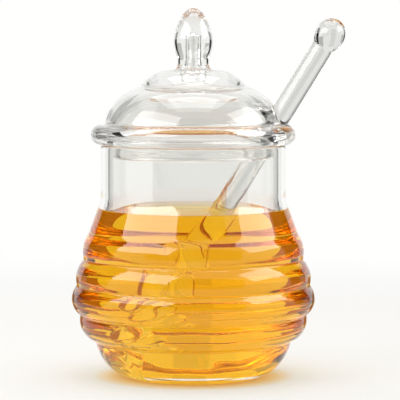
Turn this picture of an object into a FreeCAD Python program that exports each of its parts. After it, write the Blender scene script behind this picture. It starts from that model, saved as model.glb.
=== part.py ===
import FreeCAD, Part
import math
import os
import re
import Sketcher
from FreeCAD import Placement, Rotation, Vector

# Beehive honey pot: a mould-blown glass jar with five stacked ribs, a stepped glass lid with a
# hollow teardrop finial and a notch for the dipper, a ringed glass dipper that leans in the jar,
# and the honey itself. Millimetres, +Z up. The origin is the centre of the jar's flat foot, and
# the dipper leans towards +X. Every outline below is half a section, (radius, height), and is
# turned about the Z axis of its own body.

SIZES = {
    # Jar
    "foot_radius": (24.0, "flat foot the jar stands on"),
    "heel_radius": (34.9, "where the heel's curve meets the lowest rib"),
    "heel_height": (8.6, "height of that meeting"),
    "heel_bulge": (1.6, "how far the heel swells past its chord"),
    "groove_4_radius": (36.6, "groove above the lowest rib"),
    "groove_4_height": (13.5, "its height"),
    "groove_3_radius": (42.17, "groove below the widest rib"),
    "groove_3_height": (23.3, "its height"),
    "groove_2_radius": (43.55, "groove above the widest rib"),
    "groove_2_height": (34.1, "its height"),
    "groove_1_radius": (41.0, "groove below the top rib"),
    "groove_1_height": (43.9, "its height"),
    "shoulder_radius": (39.18, "where the flare of the neck runs into the top rib"),
    "shoulder_height": (53.4, "its height"),
    "rib_1_bulge": (1.1, "how far each rib swells past its chord, top rib first"),
    "rib_2_bulge": (1.27, "second rib"),
    "rib_3_bulge": (2.5, "third and widest rib"),
    "rib_4_bulge": (2.23, "fourth rib"),
    "rib_5_bulge": (0.2, "lowest rib, which flows into the heel"),
    "neck_radius": (34.45, "outside of the straight neck"),
    "neck_height": (66.4, "height where the flare ends and the straight neck begins"),
    "jar_height": (86.8, "height of the rim"),
    "neck_wall": (3.2, "glass of the neck"),
    "body_wall": (3.2, "glass of the ribbed body, measured across the axis"),
    "floor_thickness": (4.5, "glass under the honey"),
    "floor_radius": (21.5, "flat part of the floor inside"),
    "floor_bulge": (3.0, "how far the inside of the heel swells past its chord"),
    "inner_softness": (0.7, "share of each rib's swell that the inside follows"),
    "groove_round": (0.7, "rounding at the bottom of each outer groove"),
    "crease_round": (2.2, "rounding where the inside of the wall folds in behind a groove"),
    "neck_blend": (14.0, "rounding between the flare and the straight neck"),
    "rim_round": (0.8, "fire-polished edges of the rim"),
    # Honey
    "honey_level": (61.9, "height of the honey's surface"),
    # Lid. A rise is a height above the top of the bead.
    "skirt_clearance": (1.2, "gap all round between the lid's skirt and the neck"),
    "skirt_wall": (2.4, "glass of the skirt"),
    "skirt_depth": (3.9, "straight part of the skirt below the rim"),
    "skirt_edge": (1.08, "swell of the skirt's rounded lower edge"),
    "flange_overhang": (3.75, "how far the lid's bead stands out past the neck"),
    "flange_thickness": (7.4, "height of the bead, whose edge is half round"),
    "dome_ledge": (1.6, "flat ring on the bead between its round edge and the dome"),
    "dome_bulge": (3.1, "how far the lower dome swells past its chord"),
    "dome_wall": (2.7, "glass of the dome, measured upwards"),
    "dome_inset": (1.2, "how much nearer the axis the inside's corners lie"),
    "step_radius": (19.5, "groove between the lower dome and the upper tier"),
    "step_rise": (14.1, "rise of that groove"),
    "step_round": (1.2, "rounding in the grooves round the dome"),
    "tier_bulge": (1.8, "how far the upper tier swells past its chord"),
    "collar_radius": (8.2, "where the upper tier meets the finial's foot"),
    "collar_rise": (20.2, "its rise"),
    "collar_flare": (0.5, "how far the flare of that foot is hollowed out"),
    "waist_radius": (5.95, "narrow foot of the finial"),
    "waist_low": (22.0, "rise of the lower end of that foot"),
    "waist_high": (23.6, "rise of its upper end"),
    "ankle_radius": (6.3, "where the hollow above the foot turns into the teardrop"),
    "ankle_rise": (26.0, "its rise"),
    "ankle_hollow": (0.1, "depth of that hollow"),
    "ankle_bulge": (0.26, "swell of the teardrop below its widest place"),
    "finial_radius": (7.35, "widest place of the teardrop"),
    "finial_middle": (31.2, "its rise"),
    "finial_bulge": (0.8, "swell of the teardrop above its widest place"),
    "cap_radius": (3.3, "where the rounded tip begins"),
    "cap_rise": (41.7, "its rise"),
    "finial_rise": (43.3, "rise of the tip"),
    "cavity_radius": (2.1, "air space inside the finial"),
    "cavity_rise": (35.0, "rise of the air space's rounded top"),
    "cavity_mouth": (24.6, "rise where the air space begins to flare into the dome"),
    "cavity_flare": (1.3, "how far that flare swells into the air space"),
    # Notch in the lid for the dipper
    "notch_clearance": (1.25, "gap each side of the dipper's rod"),
    "notch_headroom": (1.0, "gap above the rod where it leaves the dome"),
    "notch_inset": (2.3, "how far inside the dome's foot the rod leaves the dome"),
    # Dipper
    "rod_radius": (4.05, "dipper's rod"),
    "rim_gap": (0.5, "gap between the rod and the rim it leans on"),
    "tip_reach": (23.5, "how far the dipper's tip stands from the axis"),
    "tip_lift": (1.5, "height of the tip above the floor inside"),
    "tip_dome": (2.0, "rounded end below the first ring"),
    "head_length": (45.0, "ringed head above that"),
    "head_radius": (7.6, "crest of the widest ring"),
    "head_taper": (0.22, "share by which the end rings are smaller"),
    "head_neck": (2.0, "taper from the last ring into the rod"),
    "ring_depth": (2.2, "depth of the grooves between the rings"),
    "ring_gap": (1.2, "width of those grooves"),
    "ring_gap_hollow": (0.2, "how far their floors are rounded in"),
    "knob_distance": (142.6, "tip to the widest place of the knob, along the rod"),
    "knob_radius": (5.65, "egg-shaped knob at the top of the rod, across the rod"),
    "knob_top": (6.3, "how far the knob rises past its widest place"),
    "knob_foot": (5.65, "how far below its widest place the knob meets the rod"),
    "knob_swell": (0.4, "swell of the knob between that seam and its widest place"),
    "knob_seam": (0.35, "rounded shoulder of the rod where the knob is fused on"),
}
RING_COUNT = 9
# Swell of a ring that is all but a half circle, as a share of its width.
FULLEST = 0.45
RIBS = (4, 3, 2, 1)

doc = FreeCAD.newDocument("HoneyPot")
sheet = doc.addObject("Spreadsheet::Sheet", "Sizes")
for row, (alias, (size, note)) in enumerate(SIZES.items(), 1):
    sheet.set("A%d" % row, alias)
    sheet.set("B%d" % row, str(size))
    sheet.set("C%d" % row, note)
    sheet.setAlias("B%d" % row, alias)
doc.recompute()

# Sizes that follow from the ones in the sheet, as expressions in their names.
DERIVED = {
    "neck_inside": "neck_radius - neck_wall",
    "skirt_outside": "neck_inside - skirt_clearance",
    "skirt_inside": "skirt_outside - skirt_wall",
    "bead_radius": "neck_radius + flange_overhang",
    "bead_round": "flange_thickness / 2",
    "bead_top": "jar_height + flange_thickness",
    "dome_radius": "bead_radius - bead_round - dome_ledge",
    "dome_inside": "dome_radius - dome_wall",
    "step_inside": "step_radius - dome_inset",
    "collar_inside": "collar_radius - dome_inset",
    "rod_offset": "rod_radius + rim_gap",
    "tip_height": "floor_thickness + tip_lift",
    # The rod is tangent to a circle of radius rod_offset about the rim's inner corner.
    "lean_run": "neck_inside + tip_reach",
    "lean_rise": "jar_height - tip_height",
    "lean": "atan(lean_run / lean_rise) - asin(rod_offset / sqrt(lean_run ^ 2 + lean_rise ^ 2))",
    "notch_half": "rod_radius + notch_clearance",
    "notch_foot": "jar_height - 2 * skirt_depth",
    "rod_inner_side": "neck_inside - (rod_offset + rod_radius) / cos(lean)",
    "notch_crossing": "(dome_radius - notch_inset - rod_inner_side) / tan(lean)",
    "notch_top": "jar_height + notch_crossing + notch_headroom",
}
CAP = "cap"
HOLLOW_CAP = "hollow cap"
CAPS = (CAP, HOLLOW_CAP)
# How far a quarter circle of radius 1 stands out from its chord.
QUARTER = 1 - math.sqrt(0.5)
NAME = re.compile(r"QUARTER|[a-z][a-z0-9_]*")


def bound(expression):
    """Expression in the sheet's own terms: derived names are written out, sizes get their sheet."""

    def one(match):
        name = match.group(0)
        if name == "QUARTER":
            return "%.12f" % QUARTER
        if name in DERIVED:
            return "(" + bound(DERIVED[name]) + ")"
        return "Sizes." + name if name in SIZES else name

    return NAME.sub(one, expression)


def value(expression):
    """Number that an expression gives with the sheet as it stands."""
    result = sheet.evalExpression(bound(expression))
    return float(getattr(result, "Value", result))


def new_body(name):
    """Body whose Label is the name of its file."""
    body = doc.addObject("PartDesign::Body", name.title() + "Body")
    body.Label = name
    return body


def new_sketch(body, name, role):
    """Empty sketch on one of the body's own origin planes."""
    sketch = body.newObject("Sketcher::SketchObject", name)
    plane = next(item for item in body.Origin.OriginFeatures if item.Role == role)
    sketch.AttachmentSupport = [(plane, "")]
    sketch.MapMode = "FlatFace"
    return sketch


def arc_radius(start, end, bulge):
    """Expression of the radius of an arc that stands out from its chord by the bulge.

    A cap is an arc whose centre is on the axis, so that it turns into part of a ball."""
    chord = "((%s) - (%s)) ^ 2 + ((%s) - (%s)) ^ 2" % (end[0], start[0], end[1], start[1])
    if bulge in CAPS:
        return "(%s) / (2 * abs((%s) - (%s)))" % (chord, end[1], start[1])
    return "(%s + 4 * (%s) ^ 2) / (8 * abs(%s))" % (chord, bulge, bulge)


def add_edge(sketch, start, end, radius):
    """Line, or arc of a signed radius (positive turns left), from start to end.

    Returns the edge's index and which of its ends is the start and which the end."""
    if radius is None:
        return sketch.addGeometry(Part.LineSegment(start, end)), 1, 2
    chord = end - start
    left = Vector(-chord.y, chord.x, 0).normalize()
    height = math.sqrt(max(radius ** 2 - chord.Length ** 2 / 4, 0.0))
    centre = (start + end) * 0.5 + left * math.copysign(height, radius)
    circle = Part.Circle(centre, Vector(0, 0, 1), abs(radius))
    first, last = (start, end) if radius > 0 else (end, start)
    angles = [math.atan2(point.y - centre.y, point.x - centre.x) for point in (first, last)]
    index = sketch.addGeometry(Part.ArcOfCircle(circle, *angles))
    return (index, 1, 2) if radius > 0 else (index, 2, 1)


def hold(sketch, kind, *parts):
    """Constraint whose size is bound to the expression given last."""
    expression = parts[-1]
    index = sketch.addConstraint(Sketcher.Constraint(kind, *parts[:-1], value(expression)))
    sketch.setExpression("Constraints[%d]" % index, bound(expression))


def draw(sketch, outline):
    """Closed outline, run anticlockwise: each item is (across, up, bulge of the edge that follows).

    A bulge of None is a straight edge, a positive one swells to the right of the way the outline
    runs, so away from the solid, and a negative one into it. A cap swells outwards, and a hollow
    cap into the solid."""
    corners = [(item[0], item[1]) for item in outline]
    edges = []
    for number, (across, up, bulge) in enumerate(outline):
        following = corners[(number + 1) % len(corners)]
        radius = None
        if bulge is not None:
            radius = value(arc_radius((across, up), following, bulge))
            if bulge == HOLLOW_CAP or (bulge != CAP and value(bulge) < 0):
                radius = -radius
        start = Vector(value(across), value(up), 0)
        end = Vector(value(following[0]), value(following[1]), 0)
        edges.append(add_edge(sketch, start, end, radius))
    for number, (across, up, bulge) in enumerate(outline):
        index, start, end = edges[number]
        following, next_start, _ = edges[(number + 1) % len(edges)]
        sketch.addConstraint(Sketcher.Constraint("Coincident", index, end, following, next_start))
        if across == "0":
            sketch.addConstraint(Sketcher.Constraint("PointOnObject", index, start, -2))
        else:
            hold(sketch, "DistanceX", -1, 1, index, start, across)
        if up == "0":
            sketch.addConstraint(Sketcher.Constraint("PointOnObject", index, start, -1))
        else:
            hold(sketch, "DistanceY", -1, 1, index, start, up)
        if bulge is not None:
            after = corners[(number + 1) % len(corners)]
            hold(sketch, "Radius", index, arc_radius((across, up), after, bulge))
    if sketch.solve() != 0:
        raise RuntimeError("%s cannot be solved" % sketch.Name)


def turn(body, kind, name, outline):
    """Revolution or groove of an outline, a full turn about the body's Z axis."""
    sketch = new_sketch(body, name + "Outline", "YZ_Plane")
    draw(sketch, outline)
    feature = body.newObject("PartDesign::" + kind, name)
    feature.Profile = sketch
    feature.ReferenceAxis = (sketch, ["V_Axis"])
    feature.Angle = 360.0
    doc.recompute()
    return feature


def rings_at(feature, places):
    """Names of the circular edges about the Z axis at the given (radius, height) expressions."""
    wanted = [(value(across), value(up)) for across, up in places]
    names = []
    for number, edge in enumerate(feature.Shape.Edges, 1):
        if edge.Degenerated or not isinstance(edge.Curve, Part.Circle):
            continue
        centre = edge.Curve.Center
        here = (edge.Curve.Radius, centre.z)
        if math.hypot(centre.x, centre.y) < 1e-4 and any(math.dist(here, w) < 1e-3 for w in wanted):
            names.append("Edge%d" % number)
    if len(names) != len(places):
        raise RuntimeError("%s: %d edges for %d places" % (feature.Name, len(names), len(places)))
    return names


def round_off(body, name, feature, edges, size):
    """Fillet of the named edges of a feature."""
    fillet = body.newObject("PartDesign::Fillet", name)
    fillet.Base = (feature, edges)
    fillet.setExpression("Radius", bound(size))
    doc.recompute()
    return fillet


# Places where the ribs meet, bottom first, on the outside and on the inside of the wall.
OUTER_GROOVES = [("groove_%d_radius" % n, "groove_%d_height" % n) for n in RIBS]
INNER_CREASES = [(across + " - body_wall", up) for across, up in OUTER_GROOVES]
OUTER_BULGES = ["rib_%d_bulge" % n for n in RIBS]
INNER_BULGES = [bulge + " * inner_softness" for bulge in OUTER_BULGES]
INNER_SHOULDER = ("shoulder_radius - body_wall", "shoulder_height")


def cavity(top):
    """Inside of the jar, as the half section of what would fill it up to a height."""
    outline = [("0", "floor_thickness", None), ("floor_radius", "floor_thickness", "floor_bulge")]
    for (across, up), bulge in zip(INNER_CREASES, INNER_BULGES):
        outline.append((across, up, bulge))
    outline.append((*INNER_SHOULDER, None))
    outline.append(("neck_inside", "neck_height", None))
    outline.append(("neck_inside", top, None))
    outline.append(("0", top, None))
    return outline


def soften_inside(body, feature):
    """Round the creases of the cavity, and the blend into the neck, in a jar or in its filling."""
    creases = rings_at(feature, INNER_CREASES)
    softened = round_off(body, body.Name + "Creases", feature, creases, "crease_round")
    blend = rings_at(softened, [("neck_inside", "neck_height")])
    return round_off(body, body.Name + "InnerBlend", softened, blend, "neck_blend")


def make_jar():
    """Ribbed jar: outside turned as a solid, the cavity turned out of it, edges polished."""
    body = new_body("jar")
    outline = [
        ("0", "0", None),
        ("foot_radius", "0", "heel_bulge"),
        ("heel_radius", "heel_height", "rib_5_bulge"),
    ]
    for (across, up), bulge in zip(OUTER_GROOVES, OUTER_BULGES):
        outline.append((across, up, bulge))
    outline.append(("shoulder_radius", "shoulder_height", None))
    outline.append(("neck_radius", "neck_height", None))
    outline.append(("neck_radius", "jar_height", None))
    outline.append(("0", "jar_height", None))
    blank = turn(body, "Revolution", "Blank", outline)
    hollow = turn(body, "Groove", "Hollow", cavity("jar_height"))
    if hollow.Shape.Volume > 0.6 * blank.Shape.Volume:
        raise RuntimeError("the cavity was not cut")
    grooves = rings_at(hollow, OUTER_GROOVES)
    grooved = round_off(body, "GrooveRounds", hollow, grooves, "groove_round")
    neck = rings_at(grooved, [("neck_radius", "neck_height")])
    blended = round_off(body, "NeckBlend", grooved, neck, "neck_blend")
    inside = soften_inside(body, blended)
    rim = rings_at(inside, [("neck_radius", "jar_height"), ("neck_inside", "jar_height")])
    round_off(body, "RimPolish", inside, rim, "rim_round")
    return body


def make_lid():
    """Lid: skirt, half-round bead, two-tier dome and hollow finial in one turned wall."""
    body = new_body("lid")
    above = "bead_top + "
    outline = [
        ("skirt_inside", "jar_height - skirt_depth", "skirt_edge"),
        ("skirt_outside", "jar_height - skirt_depth", None),
        ("skirt_outside", "jar_height", None),
        ("bead_radius - bead_round", "jar_height", "bead_round * QUARTER"),
        ("bead_radius", "jar_height + bead_round", "bead_round * QUARTER"),
        ("bead_radius - bead_round", "bead_top", None),
        ("dome_radius", "bead_top", "dome_bulge"),
        ("step_radius", above + "step_rise", "tier_bulge"),
        ("collar_radius", above + "collar_rise", "-collar_flare"),
        ("waist_radius", above + "waist_low", None),
        ("waist_radius", above + "waist_high", "-ankle_hollow"),
        ("ankle_radius", above + "ankle_rise", "ankle_bulge"),
        ("finial_radius", above + "finial_middle", "finial_bulge"),
        ("cap_radius", above + "cap_rise", CAP),
        ("0", above + "finial_rise", None),
        ("0", above + "cavity_rise", HOLLOW_CAP),
        ("cavity_radius", above + "cavity_rise - cavity_radius", None),
        ("cavity_radius", above + "cavity_mouth", "cavity_flare"),
        ("collar_inside", above + "collar_rise - dome_wall", "-tier_bulge * inner_softness"),
        ("step_inside", above + "step_rise - dome_wall", "-dome_bulge * inner_softness"),
        ("dome_inside", "bead_top", None),
        ("skirt_inside", "jar_height + bead_round", None),
    ]
    turned = turn(body, "Revolution", "Wall", outline)
    grooves = [("step_radius", above + "step_rise"), ("dome_radius", "bead_top")]
    inside = [("step_inside", above + "step_rise - dome_wall"), ("dome_inside", "bead_top")]
    stepped = round_off(body, "StepRounds", turned, rings_at(turned, grooves + inside), "step_round")
    sketch = new_sketch(body, "NotchShape", "YZ_Plane")
    draw(
        sketch,
        [
            ("-notch_half", "notch_foot", None),
            ("notch_half", "notch_foot", None),
            ("notch_half", "notch_top - notch_half", "notch_half * QUARTER"),
            ("0", "notch_top", "notch_half * QUARTER"),
            ("-notch_half", "notch_top - notch_half", None),
        ],
    )
    notch = body.newObject("PartDesign::Pocket", "Notch")
    notch.Profile = sketch
    notch.Type = "Length"
    notch.Reversed = True
    notch.setExpression("Length", bound("2 * bead_radius"))
    doc.recompute()
    cut_away = stepped.Shape.Volume - notch.Shape.Volume
    if cut_away < 50 or notch.Shape.Solids[0].CenterOfMass.x > -0.05:
        raise RuntimeError("the notch was not cut towards +X")
    return body


def make_dipper():
    """Dipper: ringed head, rod and knob in one turned solid, leaned against the rim."""
    body = new_body("dipper")
    pitch = "(head_length / %d)" % RING_COUNT
    outline = [("0", "0", CAP)]
    middle = (RING_COUNT - 1) / 2
    for ring in range(RING_COUNT):
        share = ((ring - middle) / middle) ** 2
        side = "head_radius * (1 - head_taper * %.6f) - ring_depth" % share
        low = "tip_dome + %s * %d + ring_gap / 2" % (pitch, ring)
        high = "tip_dome + %s * %d - ring_gap / 2" % (pitch, ring + 1)
        outline.append((side, low, "min(ring_depth, %.2f * (%s - ring_gap))" % (FULLEST, pitch)))
        outline.append((side, high, "-ring_gap_hollow"))
    outline[-1] = (side, high, None)
    seam = "knob_distance - knob_foot"
    outline.append(("rod_radius", "tip_dome + head_length + head_neck", None))
    outline.append(("rod_radius", seam + " - knob_seam", "knob_seam * QUARTER"))
    outline.append(("rod_radius - knob_seam", seam, "knob_swell"))
    outline.append(("knob_radius", "knob_distance", CAP))
    outline.append(("0", "knob_distance + knob_top", None))
    turn(body, "Revolution", "Dipper", outline)
    body.Placement = Placement(Vector(), Rotation(Vector(0, 1, 0), 30))
    body.setExpression("Placement.Rotation.Angle", bound("lean"))
    body.setExpression("Placement.Base.x", bound("-tip_reach"))
    body.setExpression("Placement.Base.z", bound("tip_height"))
    return body


def make_honey(dipper):
    """Honey: what fills the jar to its level, less the part of the dipper that is sunk in it."""
    body = new_body("filling")
    filled = turn(body, "Revolution", "Filling", cavity("jar_height"))
    softened = soften_inside(body, filled)
    sketch = new_sketch(body, "LevelShape", "YZ_Plane")
    draw(
        sketch,
        [
            ("0", "honey_level", None),
            ("2 * neck_radius", "honey_level", None),
            ("2 * neck_radius", "jar_height + 1", None),
            ("0", "jar_height + 1", None),
        ],
    )
    level = body.newObject("PartDesign::Groove", "Level")
    level.Profile = sketch
    level.ReferenceAxis = (sketch, ["V_Axis"])
    level.Angle = 360.0
    honey = doc.addObject("Part::Cut", "Honey")
    honey.Label = "honey"
    honey.Base = body
    honey.Tool = dipper
    doc.recompute()
    if level.Shape.Volume > softened.Shape.Volume:
        raise RuntimeError("the honey was not levelled")
    return honey


jar = make_jar()
lid = make_lid()
dipper = make_dipper()
honey = make_honey(dipper)
doc.recompute()

for item in doc.Objects:
    if "Invalid" in item.State or "Error" in item.State:
        raise RuntimeError("%s: %s" % (item.Name, item.State))

os.makedirs("parts", exist_ok=True)
for part in (jar, lid, dipper, honey):
    shape = part.Shape
    if shape.isNull() or not shape.isValid() or len(shape.Solids) != 1:
        raise RuntimeError("%s is not one valid solid" % part.Label)
    shape.exportStep("parts/%s.step" % part.Label)
    print("%-7s %8.2f cm3" % (part.Label, shape.Volume / 1000))
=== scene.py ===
"""Looks of the beehive honey pot: blown glass jar and lid, drawn glass dipper and clear honey.

Every piece is a surface worked out from the sizes below, in millimetres on the frame's own axes,
and written to its mesh in metres. Half sections are (radius, height) and run with the glass or
honey on their left, so that the right-hand side of the way faces out."""

import math

import bpy
import numpy as np
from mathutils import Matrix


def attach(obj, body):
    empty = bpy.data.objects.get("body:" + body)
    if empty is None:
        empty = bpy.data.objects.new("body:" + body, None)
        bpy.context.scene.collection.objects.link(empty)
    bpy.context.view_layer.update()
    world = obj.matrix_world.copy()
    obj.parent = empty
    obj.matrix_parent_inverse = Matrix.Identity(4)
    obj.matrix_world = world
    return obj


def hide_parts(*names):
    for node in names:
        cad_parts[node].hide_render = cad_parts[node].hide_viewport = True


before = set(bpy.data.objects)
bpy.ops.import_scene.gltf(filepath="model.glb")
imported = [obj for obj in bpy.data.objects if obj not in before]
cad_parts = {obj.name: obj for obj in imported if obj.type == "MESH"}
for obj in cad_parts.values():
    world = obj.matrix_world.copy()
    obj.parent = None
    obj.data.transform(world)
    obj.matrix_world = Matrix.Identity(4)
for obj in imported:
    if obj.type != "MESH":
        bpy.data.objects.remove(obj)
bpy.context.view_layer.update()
MM = 0.001

# ---------------------------------------------------------------- sizes, in millimetres

FOOT = 24.0
HEEL = (34.9, 8.6)
# Grooves between the ribs, bottom first, and how far the rib above each one swells.
GROOVES = ((36.6, 13.5), (42.17, 23.3), (43.55, 34.1), (41.0, 43.9))
SWELLS = (2.23, 2.5, 1.27, 1.1)
SHOULDER = (39.18, 53.4)
NECK_RADIUS = 34.45
NECK_HEIGHT = 66.4
JAR_HEIGHT = 86.8
NECK_WALL = 3.2
NECK_INSIDE = NECK_RADIUS - NECK_WALL
BODY_WALL = 3.2
FLOOR_HEIGHT = 4.5
FLOOR_RADIUS = 21.5
# The neck's inner corner lies this far below its outer one.
CORNER_DROP = 0.9
# The inner wall keeps this share of each rib's swell, as in blown ware.
SOFTNESS = 0.7
# Slow waves in the blown wall: how many of each go round the pot, and their depth.
WAVE_TURNS = (3, 5, 7, 9, 12, 16)
WAVE_DEPTH = 0.035
WAVE_SEED = 4

HONEY_LEVEL = 61.9
# How high honey climbs the wall and the rod, and over what distance that climb dies away.
WALL_RISE = 0.35
ROD_RISE = 1.0
RISE_FADE = 1.3
# Depth to which the honey reaches into the glass round it, so that no air gap shows.
SKIN = 0.15

SKIRT_OUTSIDE = NECK_INSIDE - 1.2
SKIRT_INSIDE = SKIRT_OUTSIDE - 2.4
SKIRT_BOTTOM = JAR_HEIGHT - 3.9
INNER_LEDGE = JAR_HEIGHT - 0.5
BEAD_ROUND = 3.7
BEAD_RADIUS = NECK_RADIUS + 3.75
BEAD_TOP = JAR_HEIGHT + 2 * BEAD_ROUND
# How far a quarter circle swells from its chord, in radii.
QUARTER_SWELL = 0.2929
DOME_RADIUS = BEAD_RADIUS - BEAD_ROUND - 1.6
DOME_WALL = 2.7
NOTCH_HALF = 5.3
NOTCH_TOP = 103.22
NOTCH_BOTTOM = 70.0

ROD = 4.05
TIP = (-23.5, FLOOR_HEIGHT + 1.5)
RIM_OFFSET = ROD + 0.5
RUN, RISE = NECK_INSIDE - TIP[0], JAR_HEIGHT - TIP[1]
LEAN = math.atan(RUN / RISE) - math.asin(RIM_OFFSET / math.hypot(RUN, RISE))
# Along the dipper: rounded end, ringed head, and the widest height of the knob.
END = 2.0
HEAD = 45.0
HEAD_RADIUS = 7.6
HEAD_TAPER = 0.22
RINGS = 9
RING_DEPTH = 2.2
RING_GAP = 1.2
KNOB = 142.6
KNOB_RADIUS = 5.65
KNOB_CAP = 6.3
KNOB_PINCH = 0.35

# Points round each piece.
JAR_COLUMNS = 240
DIPPER_COLUMNS = 192
LID_COLUMNS = 256
HONEY_COLUMNS = 208

# ---------------------------------------------------------------- surfaces


def edge(start, end, swell, step=0.04):
    """Points along one edge of a section, its end left out.

    With half a chord c and a swell b, the arc's half angle is 2 atan(b / c) and its radius is
    c / sin(half angle). A point at angle p lies radius (cos p - cos half angle) out from the
    chord's middle, to the right of the way, and radius sin p along it."""
    start, end = np.array(start, float), np.array(end, float)
    way = end - start
    length = np.hypot(*way)
    along = way / length
    right = np.array((along[1], -along[0]))
    share = np.linspace(-1, 1, max(int(length / step), 4), endpoint=False)[:, None]
    if abs(swell) < 1e-9:
        return (start + end) / 2 + along * share * length / 2
    half = 2 * math.atan(2 * swell / length)
    radius = length / 2 / math.sin(half)
    out = radius * (np.cos(share * half) - math.cos(half))
    return (start + end) / 2 + right * out + along * radius * np.sin(share * half)


def lengths(points):
    """Distance along a line of points, from its first."""
    return np.concatenate(([0.0], np.cumsum(np.hypot(*np.diff(points, axis=0).T))))


def section(outline, reach=0.35, facet=0.9, turn=9.0):
    """Half section from (radius, height, swell of the next edge, reach of the corner) items.

    Each corner is replaced, over its reach to both sides, by the parabola that is tangent to
    both edges. The line is then divided evenly in (length / facet + turning / turn), so that
    tight curves get more points than straight runs."""
    runs = [edge(a[:2], b[:2], a[2]) for a, b in zip(outline[:-1], outline[1:])]
    points = np.concatenate(runs + [np.array([outline[-1][:2]], float)])
    at = lengths(points)
    firsts = np.cumsum([len(run) for run in runs])[:-1]
    for item, first in zip(outline[1:-1], firsts):
        span = item[3] if len(item) > 3 else reach
        low = np.searchsorted(at, at[first] - span)
        high = np.searchsorted(at, at[first] + span)
        a, b = points[low], points[high]
        way_a, way_b = a - points[low - 1], points[min(high + 1, len(points) - 1)] - b
        cross = way_a[0] * way_b[1] - way_a[1] * way_b[0]
        if abs(cross) < 1e-9:
            continue
        gap = b - a
        corner = a + way_a * (gap[0] * way_b[1] - gap[1] * way_b[0]) / cross
        t = ((at[low:high] - at[low]) / (at[high] - at[low]))[:, None]
        points[low:high] = (1 - t) ** 2 * a + 2 * t * (1 - t) * corner + t**2 * b
    at = lengths(points)
    heading = np.unwrap(np.arctan2(*np.diff(points, axis=0).T[::-1]))
    turning = np.concatenate(([0.0], np.cumsum(np.abs(np.diff(heading))), [0.0]))
    turning[-1] = turning[-2]
    measure = at / facet + np.degrees(turning) / turn
    wanted = np.linspace(0, measure[-1], int(measure[-1]) + 2)
    return np.stack([np.interp(wanted, measure, points[:, k]) for k in (0, 1)], axis=1)


def offset(line, distance):
    """Section moved outwards: each point goes a distance to the right of the way it runs."""
    way = np.gradient(line, lengths(line), axis=0)
    way /= np.hypot(*way.T)[:, None]
    moved = line + distance * np.stack((way[:, 1], -way[:, 0]), axis=1)
    moved[[0, -1], 0] = line[[0, -1], 0]
    return moved


def turned(line, columns):
    """Grid of a section turned about Z: (r cos a, r sin a, z), a going once round."""
    angle = np.arange(columns) * 2 * math.pi / columns
    radius, height = line[:, 0, None], line[:, 1, None]
    return np.stack(
        (radius * np.cos(angle), radius * np.sin(angle), height + 0 * angle), axis=2
    )


def blown(grid, depth, seed):
    """Grid of a mould-blown wall: every point goes in or out by a sum of slow waves.

    Each wave is depth / 2 * cos(turns * a + rise * z + shift), so that it closes round the pot,
    and all of them die away towards the shoulder and the foot."""
    waves = np.random.default_rng(seed)
    angle = np.arctan2(grid[..., 1], grid[..., 0])
    radius, height = np.hypot(grid[..., 0], grid[..., 1]), grid[..., 2]
    push = np.zeros(radius.shape)
    for turns in WAVE_TURNS:
        rise, shift = waves.uniform(-0.5, 0.5), waves.uniform(0, 2 * math.pi)
        push += depth / 2 * np.cos(turns * angle + rise * height + shift)
    push *= np.clip((radius - 24) / 8, 0, 1) * np.clip((SHOULDER[1] + 2 - height) / 6, 0, 1)
    factor = 1 + push / np.maximum(radius, 1.0)
    return np.stack((grid[..., 0] * factor, grid[..., 1] * factor, height), axis=2)


def leaned(grid):
    """Grid round the dipper's own axis, laid over by the lean and moved to the dipper's tip."""
    x, y, z = grid[..., 0], grid[..., 1], grid[..., 2]
    cos, sin = math.cos(LEAN), math.sin(LEAN)
    return np.stack((TIP[0] + x * cos + z * sin, y, TIP[1] + z * cos - x * sin), axis=2)


def piece(name, grid, materials, rows=None):
    """Closed surface from a grid whose first and last rows are single points.

    Faces run along the columns and then the rows. Each normal is the cross product of the
    grid's own slopes along its columns and rows. rows gives the material of each row of faces."""
    rings, columns = grid.shape[:2]
    body = grid[1:-1].reshape(-1, 3)
    points = np.concatenate((grid[:1, 0], body, grid[-1:, 0])) * MM
    index = 1 + np.arange((rings - 2) * columns).reshape(rings - 2, columns)
    after = np.roll(index, -1, axis=1)
    quads = np.stack((index[:-1], after[:-1], after[1:], index[1:]), axis=2)
    last = len(points) - 1
    low = np.stack((0 * index[0], after[0], index[0]), axis=1)
    high = np.stack((index[-1], after[-1], 0 * index[-1] + last), axis=1)
    loops = np.concatenate((low.ravel(), quads.ravel(), high.ravel())).astype(np.int32)
    sizes = np.concatenate(
        (np.full(columns, 3), np.full(quads.shape[0] * columns, 4), np.full(columns, 3))
    )
    starts = np.concatenate(([0], np.cumsum(sizes)[:-1])).astype(np.int32)
    mesh = bpy.data.meshes.new(name)
    mesh.vertices.add(len(points))
    mesh.vertices.foreach_set("co", points.astype(np.float32).ravel())
    mesh.loops.add(len(loops))
    mesh.loops.foreach_set("vertex_index", loops)
    mesh.polygons.add(len(sizes))
    mesh.polygons.foreach_set("loop_start", starts)
    for finish in materials:
        mesh.materials.append(finish)
    if rows is not None:
        mesh.polygons.foreach_set("material_index", np.repeat(rows, columns).astype(np.int32))
    mesh.update(calc_edges=True)
    mesh.validate()
    mesh.shade_smooth()
    steps = np.linalg.norm(np.diff(grid, axis=0), axis=2).mean(axis=1)
    place = np.concatenate(([0.0], np.cumsum(np.maximum(steps, 1e-6))))
    down = np.gradient(grid, place, axis=0)[1:-1]
    round_about = np.roll(grid, -1, axis=1) - np.roll(grid, 1, axis=1)
    normal = np.cross(round_about[1:-1], down).reshape(-1, 3)
    ends = [np.cross(round_about[k], grid[k + 1] - grid[k]).sum(axis=0) for k in (1, -2)]
    normal = np.concatenate(([ends[0]], normal, [ends[1]]))
    normal /= np.maximum(np.linalg.norm(normal, axis=1), 1e-12)[:, None]
    mesh.normals_split_custom_set_from_vertices(normal)
    made = bpy.data.objects.new(name, mesh)
    bpy.context.scene.collection.objects.link(made)
    return made


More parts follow.
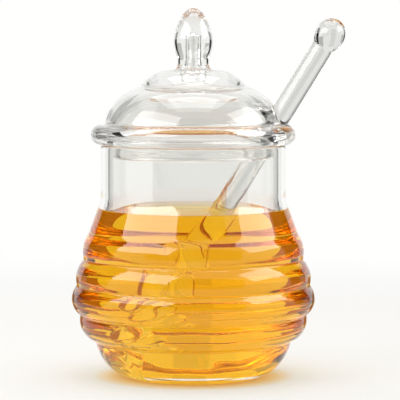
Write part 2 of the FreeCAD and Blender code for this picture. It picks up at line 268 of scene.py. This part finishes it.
# ---------------------------------------------------------------- materials

GLASS_BEND = 1.47
HONEY_BEND = 1.49
# Share of the light that crosses the honey's top without bending, which keeps it bright.
STRAIGHT_THROUGH = 0.45
# What the honey lets through of red, green and blue, and how strongly it takes the rest.
HONEY_AMBER = (0.986, 0.832, 0.0, 1.0)
HONEY_DENSITY = 65.0
# Only just off white, so that the brightest parts keep a trace of warmth.
STUDIO_WHITE = "#FFFFFE"


def colour(code):
    """Linear colour of an sRGB hex code."""
    values = [int(code[k : k + 2], 16) / 255 for k in (1, 3, 5)]
    return [v / 12.92 if v <= 0.04045 else ((v + 0.055) / 1.055) ** 2.4 for v in values] + [1.0]


def add(tree, kind, links=(), settings=(), **attributes):
    """Adds a node: attributes are its own, settings go on its sockets, links feed its sockets."""
    node = tree.nodes.new("ShaderNode" + kind)
    for name, wanted in attributes.items():
        setattr(node, name, wanted)
    for socket, wanted in dict(settings).items():
        node.inputs[socket].default_value = wanted
    for socket, source in dict(links).items():
        tree.links.new(source, node.inputs[socket])
    return node


def material(name):
    """Empty material, with its tree."""
    made = bpy.data.materials.new(name)
    made.use_nodes = True
    made.node_tree.nodes.clear()
    return made, made.node_tree


def looked_at(tree, path):
    """Adds nodes that give 1 to what is seen directly, mirrored or through glass, and else 0."""
    seen = add(
        tree,
        "Math",
        links={0: path.outputs["Is Camera Ray"], 1: path.outputs["Is Glossy Ray"]},
        operation="MAXIMUM",
    )
    return add(
        tree,
        "Math",
        links={0: seen.outputs[0], 1: path.outputs["Is Transmission Ray"]},
        operation="MAXIMUM",
    )


def glass(name, bend, tint="#FFFFFF", shade="#F8F9F8"):
    """Borosilicate glass. Fire polish leaves it perfectly smooth, so its roughness is nil, and
    light goes on through it to the surface that it stands on, a little dimmed by the shade."""
    made, tree = material(name)
    body = add(
        tree,
        "BsdfPrincipled",
        settings={
            "Base Color": colour(tint),
            "Transmission Weight": 1.0,
            "Roughness": 0.0,
            "IOR": bend,
        },
    )
    clear = add(tree, "BsdfTransparent", settings={"Color": colour(shade)})
    path = add(tree, "LightPath")
    mixed = add(
        tree,
        "MixShader",
        links={0: path.outputs["Is Shadow Ray"], 1: body.outputs[0], 2: clear.outputs[0]},
    )
    add(tree, "OutputMaterial", links={"Surface": mixed.outputs[0]})
    return made


def honey_in_glass(name):
    """Clear runny honey. Its top shines like glass. Its sides meet the glass with nothing to
    see between them, and its amber deepens with the depth that light goes through."""
    made, tree = material(name)
    surface = add(
        tree,
        "BsdfPrincipled",
        settings={
            "Base Color": colour("#FFFFFF"),
            "Transmission Weight": 1.0,
            "Roughness": 0.0,
            "IOR": HONEY_BEND,
        },
    )
    contact = add(tree, "BsdfTransparent", settings={"Color": colour("#FFFFFF")})
    surface = add(
        tree,
        "MixShader",
        links={1: surface.outputs[0], 2: contact.outputs[0]},
        settings={0: STRAIGHT_THROUGH},
    )
    open_top = add(tree, "Attribute", attribute_name="open_top")
    mixed = add(
        tree,
        "MixShader",
        links={0: open_top.outputs["Fac"], 1: contact.outputs[0], 2: surface.outputs[0]},
    )
    depth = add(
        tree, "VolumeAbsorption", settings={"Color": HONEY_AMBER, "Density": HONEY_DENSITY}
    )
    add(
        tree, "OutputMaterial", links={"Surface": mixed.outputs[0], "Volume": depth.outputs[0]}
    )
    return made


# Blown and fire polished: bare bright glass, with dark lines only where its wall turns edge on.
clear_glass = glass("fire_polished_borosilicate", GLASS_BEND, "#F9F9F7")
# Thicker than the jar, so a little greyer.
pressed_glass = glass("thick_borosilicate_of_the_lid", GLASS_BEND, "#F1F1EF")
# Drawn and solid, so greyer still, and a lens for what lies behind it.
rod_glass = glass("drawn_borosilicate_rod", GLASS_BEND, "#E4E4E2")
# The jar's outside where honey fills it: no tint, so that the honey alone gives the colour.
filled_glass = glass("fire_polished_borosilicate_round_honey", GLASS_BEND)
# Honey bends light almost as glass does, so the inner wall all but vanishes below its level.
wetted_glass = glass("borosilicate_against_honey", 1.014, shade="#F2F0EC")
# Bends light more than glass in honey really does, so that the sunk rings show as wavy lines.
sunk_glass = glass("borosilicate_sunk_in_honey", 1.1)
golden_honey = honey_in_glass("clear_golden_honey")

# ---------------------------------------------------------------- jar


def jar_outside():
    """Outside of the jar: foot, heel, four stacked ribs, flare and straight neck."""
    outline = [(0, 0, 0), (FOOT, 0, 1.6, 0.6), (*HEEL, 0.2, 0.8)]
    outline += [(*place, swell, 0.55) for place, swell in zip(GROOVES, SWELLS)]
    outline += [(*SHOULDER, 0, 1.0), (NECK_RADIUS, NECK_HEIGHT, 0, 2.5)]
    return outline


def jar_inside():
    """Inside of the jar, from the neck down to the middle of the floor.

    It follows the outside a wall's thickness in, with each rib's swell softened."""
    outline = [
        (NECK_INSIDE, NECK_HEIGHT - CORNER_DROP, 0, 2.5),
        (SHOULDER[0] - BODY_WALL, SHOULDER[1], SWELLS[-1], 1.0),
    ]
    creases = [(radius - BODY_WALL, height) for radius, height in GROOVES]
    places = creases[::-1] + [(FLOOR_RADIUS, FLOOR_HEIGHT)]
    for number, place in enumerate(places):
        swell = SWELLS[::-1][number] * SOFTNESS if number < len(SWELLS) else 0
        outline[-1] = (*outline[-1][:2], -swell, *outline[-1][3:])
        outline.append((*place, 0, 1.3))
    outline[-2] = (*outline[-2][:2], -3.0, 1.3)
    outline.append((0, FLOOR_HEIGHT, 0))
    return outline


rim = [(NECK_RADIUS, JAR_HEIGHT, 0, 0.8), (NECK_INSIDE, JAR_HEIGHT, 0, 0.8)]
jar_line = section(jar_outside() + rim + jar_inside(), facet=1.0, turn=10)
jar_grid = turned(jar_line, JAR_COLUMNS)
rim_row = int(np.argmax(jar_line[:, 1]))
middles = (jar_line[1:, 1] + jar_line[:-1, 1]) / 2
inside_rows = np.arange(len(middles)) > rim_row
outside = np.arange(len(jar_line)) <= rim_row
jar_grid[outside] = blown(jar_grid[outside], WAVE_DEPTH, WAVE_SEED)
jar = piece(
    "jar_glass",
    jar_grid,
    [clear_glass, filled_glass, wetted_glass],
    (middles < HONEY_LEVEL + 0.3) * (1 + inside_rows),
)

# ---------------------------------------------------------------- dipper


def dipper_outline():
    """Dipper along its own axis: rounded end, stacked rings, rod, and the knob fused to it.

    The rings narrow towards both ends of the head by a taper times the square of the share of
    the way from its middle."""
    outline = [(0, 0, 0.6)]
    pitch = HEAD / RINGS
    for ring in range(RINGS):
        share = (2 * ring / (RINGS - 1) - 1) ** 2
        side = HEAD_RADIUS * (1 - HEAD_TAPER * share) - RING_DEPTH
        low = END + pitch * ring + RING_GAP / 2
        outline.append((side, low, 0.45 * (pitch - RING_GAP), 0.3))
        outline.append((side, low + pitch - RING_GAP, -0.2, 0.3))
    outline[-1] = (*outline[-1][:2], 0, 0.3)
    seam = KNOB - KNOB_RADIUS
    outline.append((ROD, END + HEAD + 2.0, 0, 1.0))
    outline.append((ROD, seam - KNOB_PINCH, 0.1, 0.15))
    outline.append((ROD - KNOB_PINCH, seam, 0.4, 0.3))
    outline.append((KNOB_RADIUS, KNOB, 1.7, 0.5))
    outline.append((0, KNOB + KNOB_CAP, 0))
    return outline


dipper_line = section(dipper_outline(), facet=1.1, turn=8)
dipper_grid = leaned(turned(dipper_line, DIPPER_COLUMNS))
sunk_rows = dipper_line[1:, 1] < (HONEY_LEVEL - TIP[1]) / math.cos(LEAN)
dipper = piece("dipper_glass", dipper_grid, [rod_glass, sunk_glass], sunk_rows)

# ---------------------------------------------------------------- lid


def lid_outline():
    """Lid from the top of the finial's air space: inside, skirt, bead, two tiers and finial."""
    top = BEAD_TOP
    round_swell = BEAD_ROUND * QUARTER_SWELL
    return [
        (0, top + 35.0, 0.87),
        (2.1, top + 32.9, 0, 0.4),
        (2.1, top + 24.6, 1.3, 0.5),
        (7.0, top + 17.5, -1.26, 1.0),
        (18.3, top + 11.4, -2.17, 1.2),
        (DOME_RADIUS - DOME_WALL, top, 0, 1.2),
        (SKIRT_INSIDE, INNER_LEDGE, 0, 1.2),
        (SKIRT_INSIDE, SKIRT_BOTTOM, 1.08, 0.2),
        (SKIRT_OUTSIDE, SKIRT_BOTTOM, 0, 0.2),
        (SKIRT_OUTSIDE, JAR_HEIGHT, 0, 0.3),
        (BEAD_RADIUS - BEAD_ROUND, JAR_HEIGHT, round_swell, 0.5),
        (BEAD_RADIUS, JAR_HEIGHT + BEAD_ROUND, round_swell, 0.5),
        (BEAD_RADIUS - BEAD_ROUND, top, 0, 0.5),
        (DOME_RADIUS, top, 3.1, 0.9),
        (19.5, top + 14.1, 1.8, 0.9),
        (8.2, top + 20.2, -0.5, 0.5),
        (5.95, top + 22.0, 0, 0.5),
        (5.95, top + 23.6, -0.1, 0.5),
        (6.3, top + 26.0, 0.26, 0.8),
        (7.35, top + 31.2, 0.8, 1.0),
        (3.3, top + 41.7, 0.36, 0.8),
        (0, top + 43.3, 0),
    ]


def arch(reach, quarter=16):
    """Prism cut out of the lid's wall for the rod: upright sides under a half circle.

    Its outline goes up at +half and round (half cos a, middle + half sin a) to -half, and is
    carried along X from the lid's middle to past the bead."""
    half = NOTCH_HALF
    angle = np.linspace(0, math.pi, 2 * quarter + 1)
    across = np.concatenate(([half], half * np.cos(angle), [-half]))
    crown = NOTCH_TOP - half + half * np.sin(angle)
    height = np.concatenate(([NOTCH_BOTTOM], crown, [NOTCH_BOTTOM]))
    corners = [np.stack((x + 0 * across, across, height), axis=1) for x in (0.0, reach)]
    count = len(across)
    sides = [[k, (k + 1) % count, count + (k + 1) % count, count + k] for k in range(count)]
    faces = sides + [list(range(count))[::-1], list(range(count, 2 * count))]
    mesh = bpy.data.meshes.new("arch")
    mesh.from_pydata((np.concatenate(corners) * MM).tolist(), [], faces)
    return bpy.data.objects.new("arch", mesh)


def cut(made, tool, crease=35.0):
    """Takes the tool's space out of a piece and leaves the cut's edges crisp."""
    bpy.context.scene.collection.objects.link(tool)
    modifier = made.modifiers.new("cut", "BOOLEAN")
    modifier.operation = "DIFFERENCE"
    modifier.solver = "EXACT"
    modifier.object = tool
    seen = made.evaluated_get(bpy.context.evaluated_depsgraph_get())
    mesh = bpy.data.meshes.new_from_object(seen)
    made.modifiers.clear()
    made.data = mesh
    bpy.data.objects.remove(tool)
    mesh.shade_smooth()
    mesh.set_sharp_from_angle(angle=math.radians(crease))


lid = piece("lid_glass", turned(section(lid_outline()), LID_COLUMNS), [pressed_glass])
cut(lid, arch(2 * BEAD_RADIUS))

# ---------------------------------------------------------------- honey


def wall_upwards():
    """Inside of the jar again, from the floor up to where the honey meets the flare."""
    inside = jar_inside()[::-1]
    items = []
    for number, item in enumerate(inside[1:], 1):
        swell = -inside[number + 1][2] if number < len(inside) - 1 else 0
        items.append((item[0], item[1], swell, *(item[3:] or (1.0,))))
    slope = (items[-1][0] - items[-2][0]) / (items[-1][1] - items[-2][1])
    top = HONEY_LEVEL + WALL_RISE
    items[-1] = (items[-2][0] + slope * (top - items[-2][1]), top, 0)
    return items


def honey_grid(columns, top_rows=60, bore_rows=24):
    """Honey as one surface: up the wall, in across the top and down round the dipper.

    Its sides reach a skin's depth into the glass. Across the top each row lies a share of the
    way from the wall's ring to the rod's oval, at the level plus a rise that fades as
    exp(-distance / fade) from the wall and from the rod. Also gives 1 for each row of faces that
    lies on the open top, and 0 for the rest."""
    angle = np.arange(columns) * 2 * math.pi / columns
    cos, sin = math.cos(LEAN), math.sin(LEAN)
    side = turned(offset(section([(0, FLOOR_HEIGHT, 0)] + wall_upwards()), SKIN), columns)
    thin = ROD - SKIN
    ring_height = HONEY_LEVEL + ROD_RISE
    along = (ring_height - TIP[1] + thin * np.cos(angle) * sin) / cos
    oval = np.stack(
        (TIP[0] + along * sin + thin * np.cos(angle) * cos, thin * np.sin(angle)), axis=1
    )
    ring = side[-1, :, :2]
    share = (1 - np.cos(np.linspace(0, math.pi, top_rows)))[1:, None, None] / 2
    flat = ring * (1 - share) + oval * share
    from_wall = np.hypot(*ring[0]) - np.hypot(flat[..., 0], flat[..., 1])
    middle = TIP[0] + (HONEY_LEVEL - TIP[1]) * sin / cos
    from_rod = np.hypot(flat[..., 1], (flat[..., 0] - middle) * cos) - thin
    rise = WALL_RISE * np.exp(-from_wall / RISE_FADE)
    rise += ROD_RISE * np.exp(-np.maximum(from_rod, 0) / RISE_FADE)
    height = HONEY_LEVEL + rise
    height[-1] = ring_height
    top = np.concatenate((flat, height[..., None]), axis=2)
    down = np.linspace(1, 0, bore_rows)[1:, None]
    lowest = HEAD + 8.0
    place = lowest + (along - lowest) * down
    bore = np.stack(
        (thin * np.cos(angle) + 0 * place, thin * np.sin(angle) + 0 * place, place), axis=2
    )
    below = dipper_line[dipper_line[:, 1] < lowest - 0.5]
    below = np.concatenate((below[:1], below[1::2]))[::-1]
    below = np.stack((np.maximum(below[:, 0] - SKIN, 0), below[:, 1]), axis=1)
    below[-1, 1] = SKIN
    sunk = turned(below, columns)
    grid = np.concatenate((side, top, leaned(bore), leaned(sunk)))
    rows = np.zeros(len(grid) - 1, int)
    rows[len(side) - 1 : len(side) + len(top) - 1] = 1
    return grid, rows


grid, top_faces = honey_grid(HONEY_COLUMNS)
honey = piece("honey_fill", grid, [golden_honey])
flags = np.repeat(top_faces, HONEY_COLUMNS).astype(np.float32)
honey.data.attributes.new("open_top", "FLOAT", "FACE").data.foreach_set("value", flags)
honey.visible_shadow = False

for made, node, slot in (
    (jar, "jar", "clear_glass"),
    (lid, "lid", "clear_glass"),
    (dipper, "dipper", "clear_glass"),
    (honey, "honey", "honey"),
):
    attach(made, "root")
    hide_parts(node)

# ---------------------------------------------------------------- floor, light and camera


def make_floor(reach=3.0):
    """Matt white board, with an amber caustic painted into its colour close round the foot, in
    place of the light that honey colours there. Far from the pot it goes over to the backdrop's
    white."""
    made, tree = material("matt_white_board_with_painted_caustic")
    place = add(tree, "TexCoord")
    away = add(tree, "VectorMath", links={0: place.outputs["Object"]}, operation="LENGTH")
    painted_caustic_falloff = add(
        tree,
        "MapRange",
        links={"Value": away.outputs["Value"]},
        settings={"From Min": 0.024, "From Max": 0.038, "To Min": 0.0, "To Max": 1.0},
    )
    # Painted caustic: amber painted into the board's colour round the foot, in place of the light
    # that honey throws there. It fades out by 38 mm from the middle.
    glow = add(tree, "ValToRGB", links={0: painted_caustic_falloff.outputs[0]})
    ramp = glow.color_ramp.elements
    ramp[0].color, ramp[1].color = colour("#E8A850"), colour("#F4F3F0")
    middle = ramp.new(0.4)
    middle.color = colour("#F5D49C")
    board = add(tree, "BsdfDiffuse", links={"Color": glow.outputs["Color"]})
    white = add(tree, "Emission", settings={"Color": colour(STUDIO_WHITE), "Strength": 1.0})
    fade = add(
        tree,
        "MapRange",
        links={"Value": away.outputs["Value"]},
        settings={"From Min": 0.12, "From Max": 0.5, "To Min": 0.0, "To Max": 1.0},
        interpolation_type="SMOOTHSTEP",
    )
    seen = looked_at(tree, add(tree, "LightPath"))
    share = add(tree, "Math", links={0: seen.outputs[0], 1: fade.outputs[0]}, operation="MULTIPLY")
    mixed = add(
        tree, "MixShader", links={0: share.outputs[0], 1: board.outputs[0], 2: white.outputs[0]}
    )
    add(tree, "OutputMaterial", links={"Surface": mixed.outputs[0]})
    mesh = bpy.data.meshes.new("floor")
    corners = [(-reach, -reach, 0), (reach, -reach, 0), (reach, reach, 0), (-reach, reach, 0)]
    mesh.from_pydata(corners, [], [(0, 1, 2, 3)])
    mesh.materials.append(made)
    floor = bpy.data.objects.new("floor", mesh)
    bpy.context.scene.collection.objects.link(floor)


def make_card(name, bearing, rise, spread, shade, strength, away, through=True):
    """Studio card that only reflections and light bent by glass can meet.

    It stands square to the line from the pot's middle at a bearing (degrees from the backdrop
    towards +X) and a rise, and its spread is the two angles that it takes up from there. A card
    that isn't seen through glass only darkens what the outside of the glass reflects."""
    made, tree = material(name + "_paper")
    glow = add(tree, "Emission", settings={"Color": colour(shade), "Strength": strength})
    clear = add(tree, "BsdfTransparent")
    path = add(tree, "LightPath")
    matt = add(
        tree,
        "Math",
        links={0: path.outputs["Diffuse Depth"]},
        settings={1: 0.5},
        operation="GREATER_THAN",
    )
    mixed = add(
        tree, "MixShader", links={0: matt.outputs[0], 1: glow.outputs[0], 2: clear.outputs[0]}
    )
    add(tree, "OutputMaterial", links={"Surface": mixed.outputs[0]})
    turn, lift = math.radians(bearing), math.radians(rise)
    flat = math.cos(lift)
    out = np.array((math.sin(turn) * flat, math.cos(turn) * flat, math.sin(lift)))
    side = np.array((math.cos(turn), -math.sin(turn), 0))
    up = np.cross(side, out)
    half = [away * math.tan(math.radians(angle) / 2) for angle in spread]
    middle = out * away + np.array((0, 0, 0.06))
    corners = [
        middle + side * half[0] * across + up * half[1] * along
        for across, along in ((-1, -1), (1, -1), (1, 1), (-1, 1))
    ]
    mesh = bpy.data.meshes.new(name)
    mesh.from_pydata([corner.tolist() for corner in corners], [], [(0, 1, 2, 3)])
    mesh.materials.append(made)
    card = bpy.data.objects.new(name, mesh)
    bpy.context.scene.collection.objects.link(card)
    card.visible_camera = False
    card.visible_diffuse = False
    card.visible_shadow = False
    card.visible_transmission = through
    card.visible_volume_scatter = False


def make_lamp(name, place, aim, size, watts):
    """Square soft box of white light that faces the point it is aimed at."""
    data = bpy.data.lights.new(name, "AREA")
    data.shape = "SQUARE"
    data.size = size
    data.energy = watts
    lamp = bpy.data.objects.new(name, data)
    lamp.location = place
    way = np.array(aim, float) - np.array(place, float)
    flat = math.hypot(way[0], way[1])
    lamp.rotation_euler = (math.atan2(flat, -way[2]), 0, math.atan2(way[1], way[0]) - math.pi / 2)
    lamp.visible_transmission = False
    bpy.context.scene.collection.objects.link(lamp)


def make_world():
    """White studio round the pot. The part of it that lights matt surfaces is dimmer, and dimmer
    still where that light has come through glass."""
    world = bpy.data.worlds.new("white_studio")
    bpy.context.scene.world = world
    world.use_nodes = True
    tree = world.node_tree
    tree.nodes.clear()
    path = add(tree, "LightPath")
    seen = looked_at(tree, path)
    white = add(tree, "Background", settings={"Color": colour(STUDIO_WHITE), "Strength": 1.0})
    direct = add(
        tree,
        "Math",
        links={0: path.outputs["Diffuse Depth"]},
        settings={1: 0.5},
        operation="LESS_THAN",
    )
    seen = add(
        tree, "Math", links={0: seen.outputs[0], 1: direct.outputs[0]}, operation="MULTIPLY"
    )
    dim = add(tree, "Background", settings={"Color": colour("#FFFFFF"), "Strength": 0.4})
    through = add(tree, "Background", settings={"Color": colour("#FFFFFF"), "Strength": 0.34})
    crossed = add(
        tree,
        "Math",
        links={0: path.outputs["Transmission Depth"]},
        settings={1: 0.5},
        operation="GREATER_THAN",
    )
    dim = add(
        tree, "MixShader", links={0: crossed.outputs[0], 1: dim.outputs[0], 2: through.outputs[0]}
    )
    mixed = add(
        tree, "MixShader", links={0: seen.outputs[0], 1: dim.outputs[0], 2: white.outputs[0]}
    )
    add(tree, "OutputWorld", links={"Surface": mixed.outputs[0]})


# Name, bearing, rise, spread, shade, strength, distance in metres, and whether glass shows it.
CARDS = (
    # Pale grey field behind the pot, which the clear glass takes its body from.
    ("backdrop_shade", 1, 6, (11.5, 60), "#EDEDEB", 1.0, 0.6, True),
    # Black flags for the dark lines along the edges of the glass.
    ("left_black", -50, 25, (15, 44), "#0A0A0A", 1.0, 0.4, True),
    ("right_black", 50, 25, (15, 44), "#0A0A0A", 1.0, 0.4, True),
    # Dark sides that only the outside of the glass reflects.
    ("left_dusk", -68, 6, (48, 80), "#3C3C3A", 1.0, 0.5, False),
    ("right_dusk", 58, 6, (30, 80), "#3C3C3A", 1.0, 0.5, False),
    # Soft grey for the flanks of the lid's dome.
    ("left_upper", -34, 22, (17, 24), "#C8C8C6", 1.0, 0.5, True),
    ("right_upper", 34, 22, (17, 24), "#C8C8C6", 1.0, 0.5, True),
    # Brown board below the pot's sides, for the dark amber edges round the honey's pale ovals.
    ("left_low", -33, -23, (26, 20), "#B88858", 1.0, 0.125, True),
    ("right_low", 33, -23, (26, 20), "#B88858", 1.0, 0.125, True),
    ("left_grey", -50, -8, (15, 22), "#9C9C9A", 1.0, 0.4, True),
    ("right_grey", 50, -8, (15, 22), "#9C9C9A", 1.0, 0.4, True),
    # Bright windows for the highlights, and a grey front between them that lets them stand out.
    ("left_window", -124, 33, (60, 30), "#FFFFFF", 6.0, 0.6, True),
    ("right_window", 98, 33, (42, 30), "#FFFFFF", 6.0, 0.6, True),
    ("front_dusk", 180, 10, (100, 60), "#707070", 1.0, 1.6, True),
    ("ceiling_window", 0, 88, (32, 38), "#FFFFFF", 3.5, 0.6, True),
)

make_world()
make_floor()
for card in CARDS:
    make_card(*card)
make_lamp("top_box", (0.0, 0.05, 0.9), (0, 0, 0.03), 0.8, 6.0)
make_lamp("left_box", (-0.8, -0.5, 0.7), (0, 0, 0.05), 0.6, 2.5)

camera_data = bpy.data.cameras.new("camera")
camera_data.sensor_width = 36.0
camera_data.lens = 214.02
camera_data.clip_end = 20.0
camera = bpy.data.objects.new("camera", camera_data)
camera.location = (0.0025, -0.886, 0.12825)
camera.rotation_euler = (math.radians(90 - 4.017), 0, 0)
bpy.context.scene.collection.objects.link(camera)
bpy.context.scene.camera = camera

bpy.context.scene.view_settings.view_transform = "Standard"
# Light crosses many glass walls here, so it is followed further than usual.
cycles = bpy.context.scene.cycles
cycles.max_bounces = 32
cycles.transmission_bounces = 32
cycles.glossy_bounces = 12
cycles.transparent_max_bounces = 32
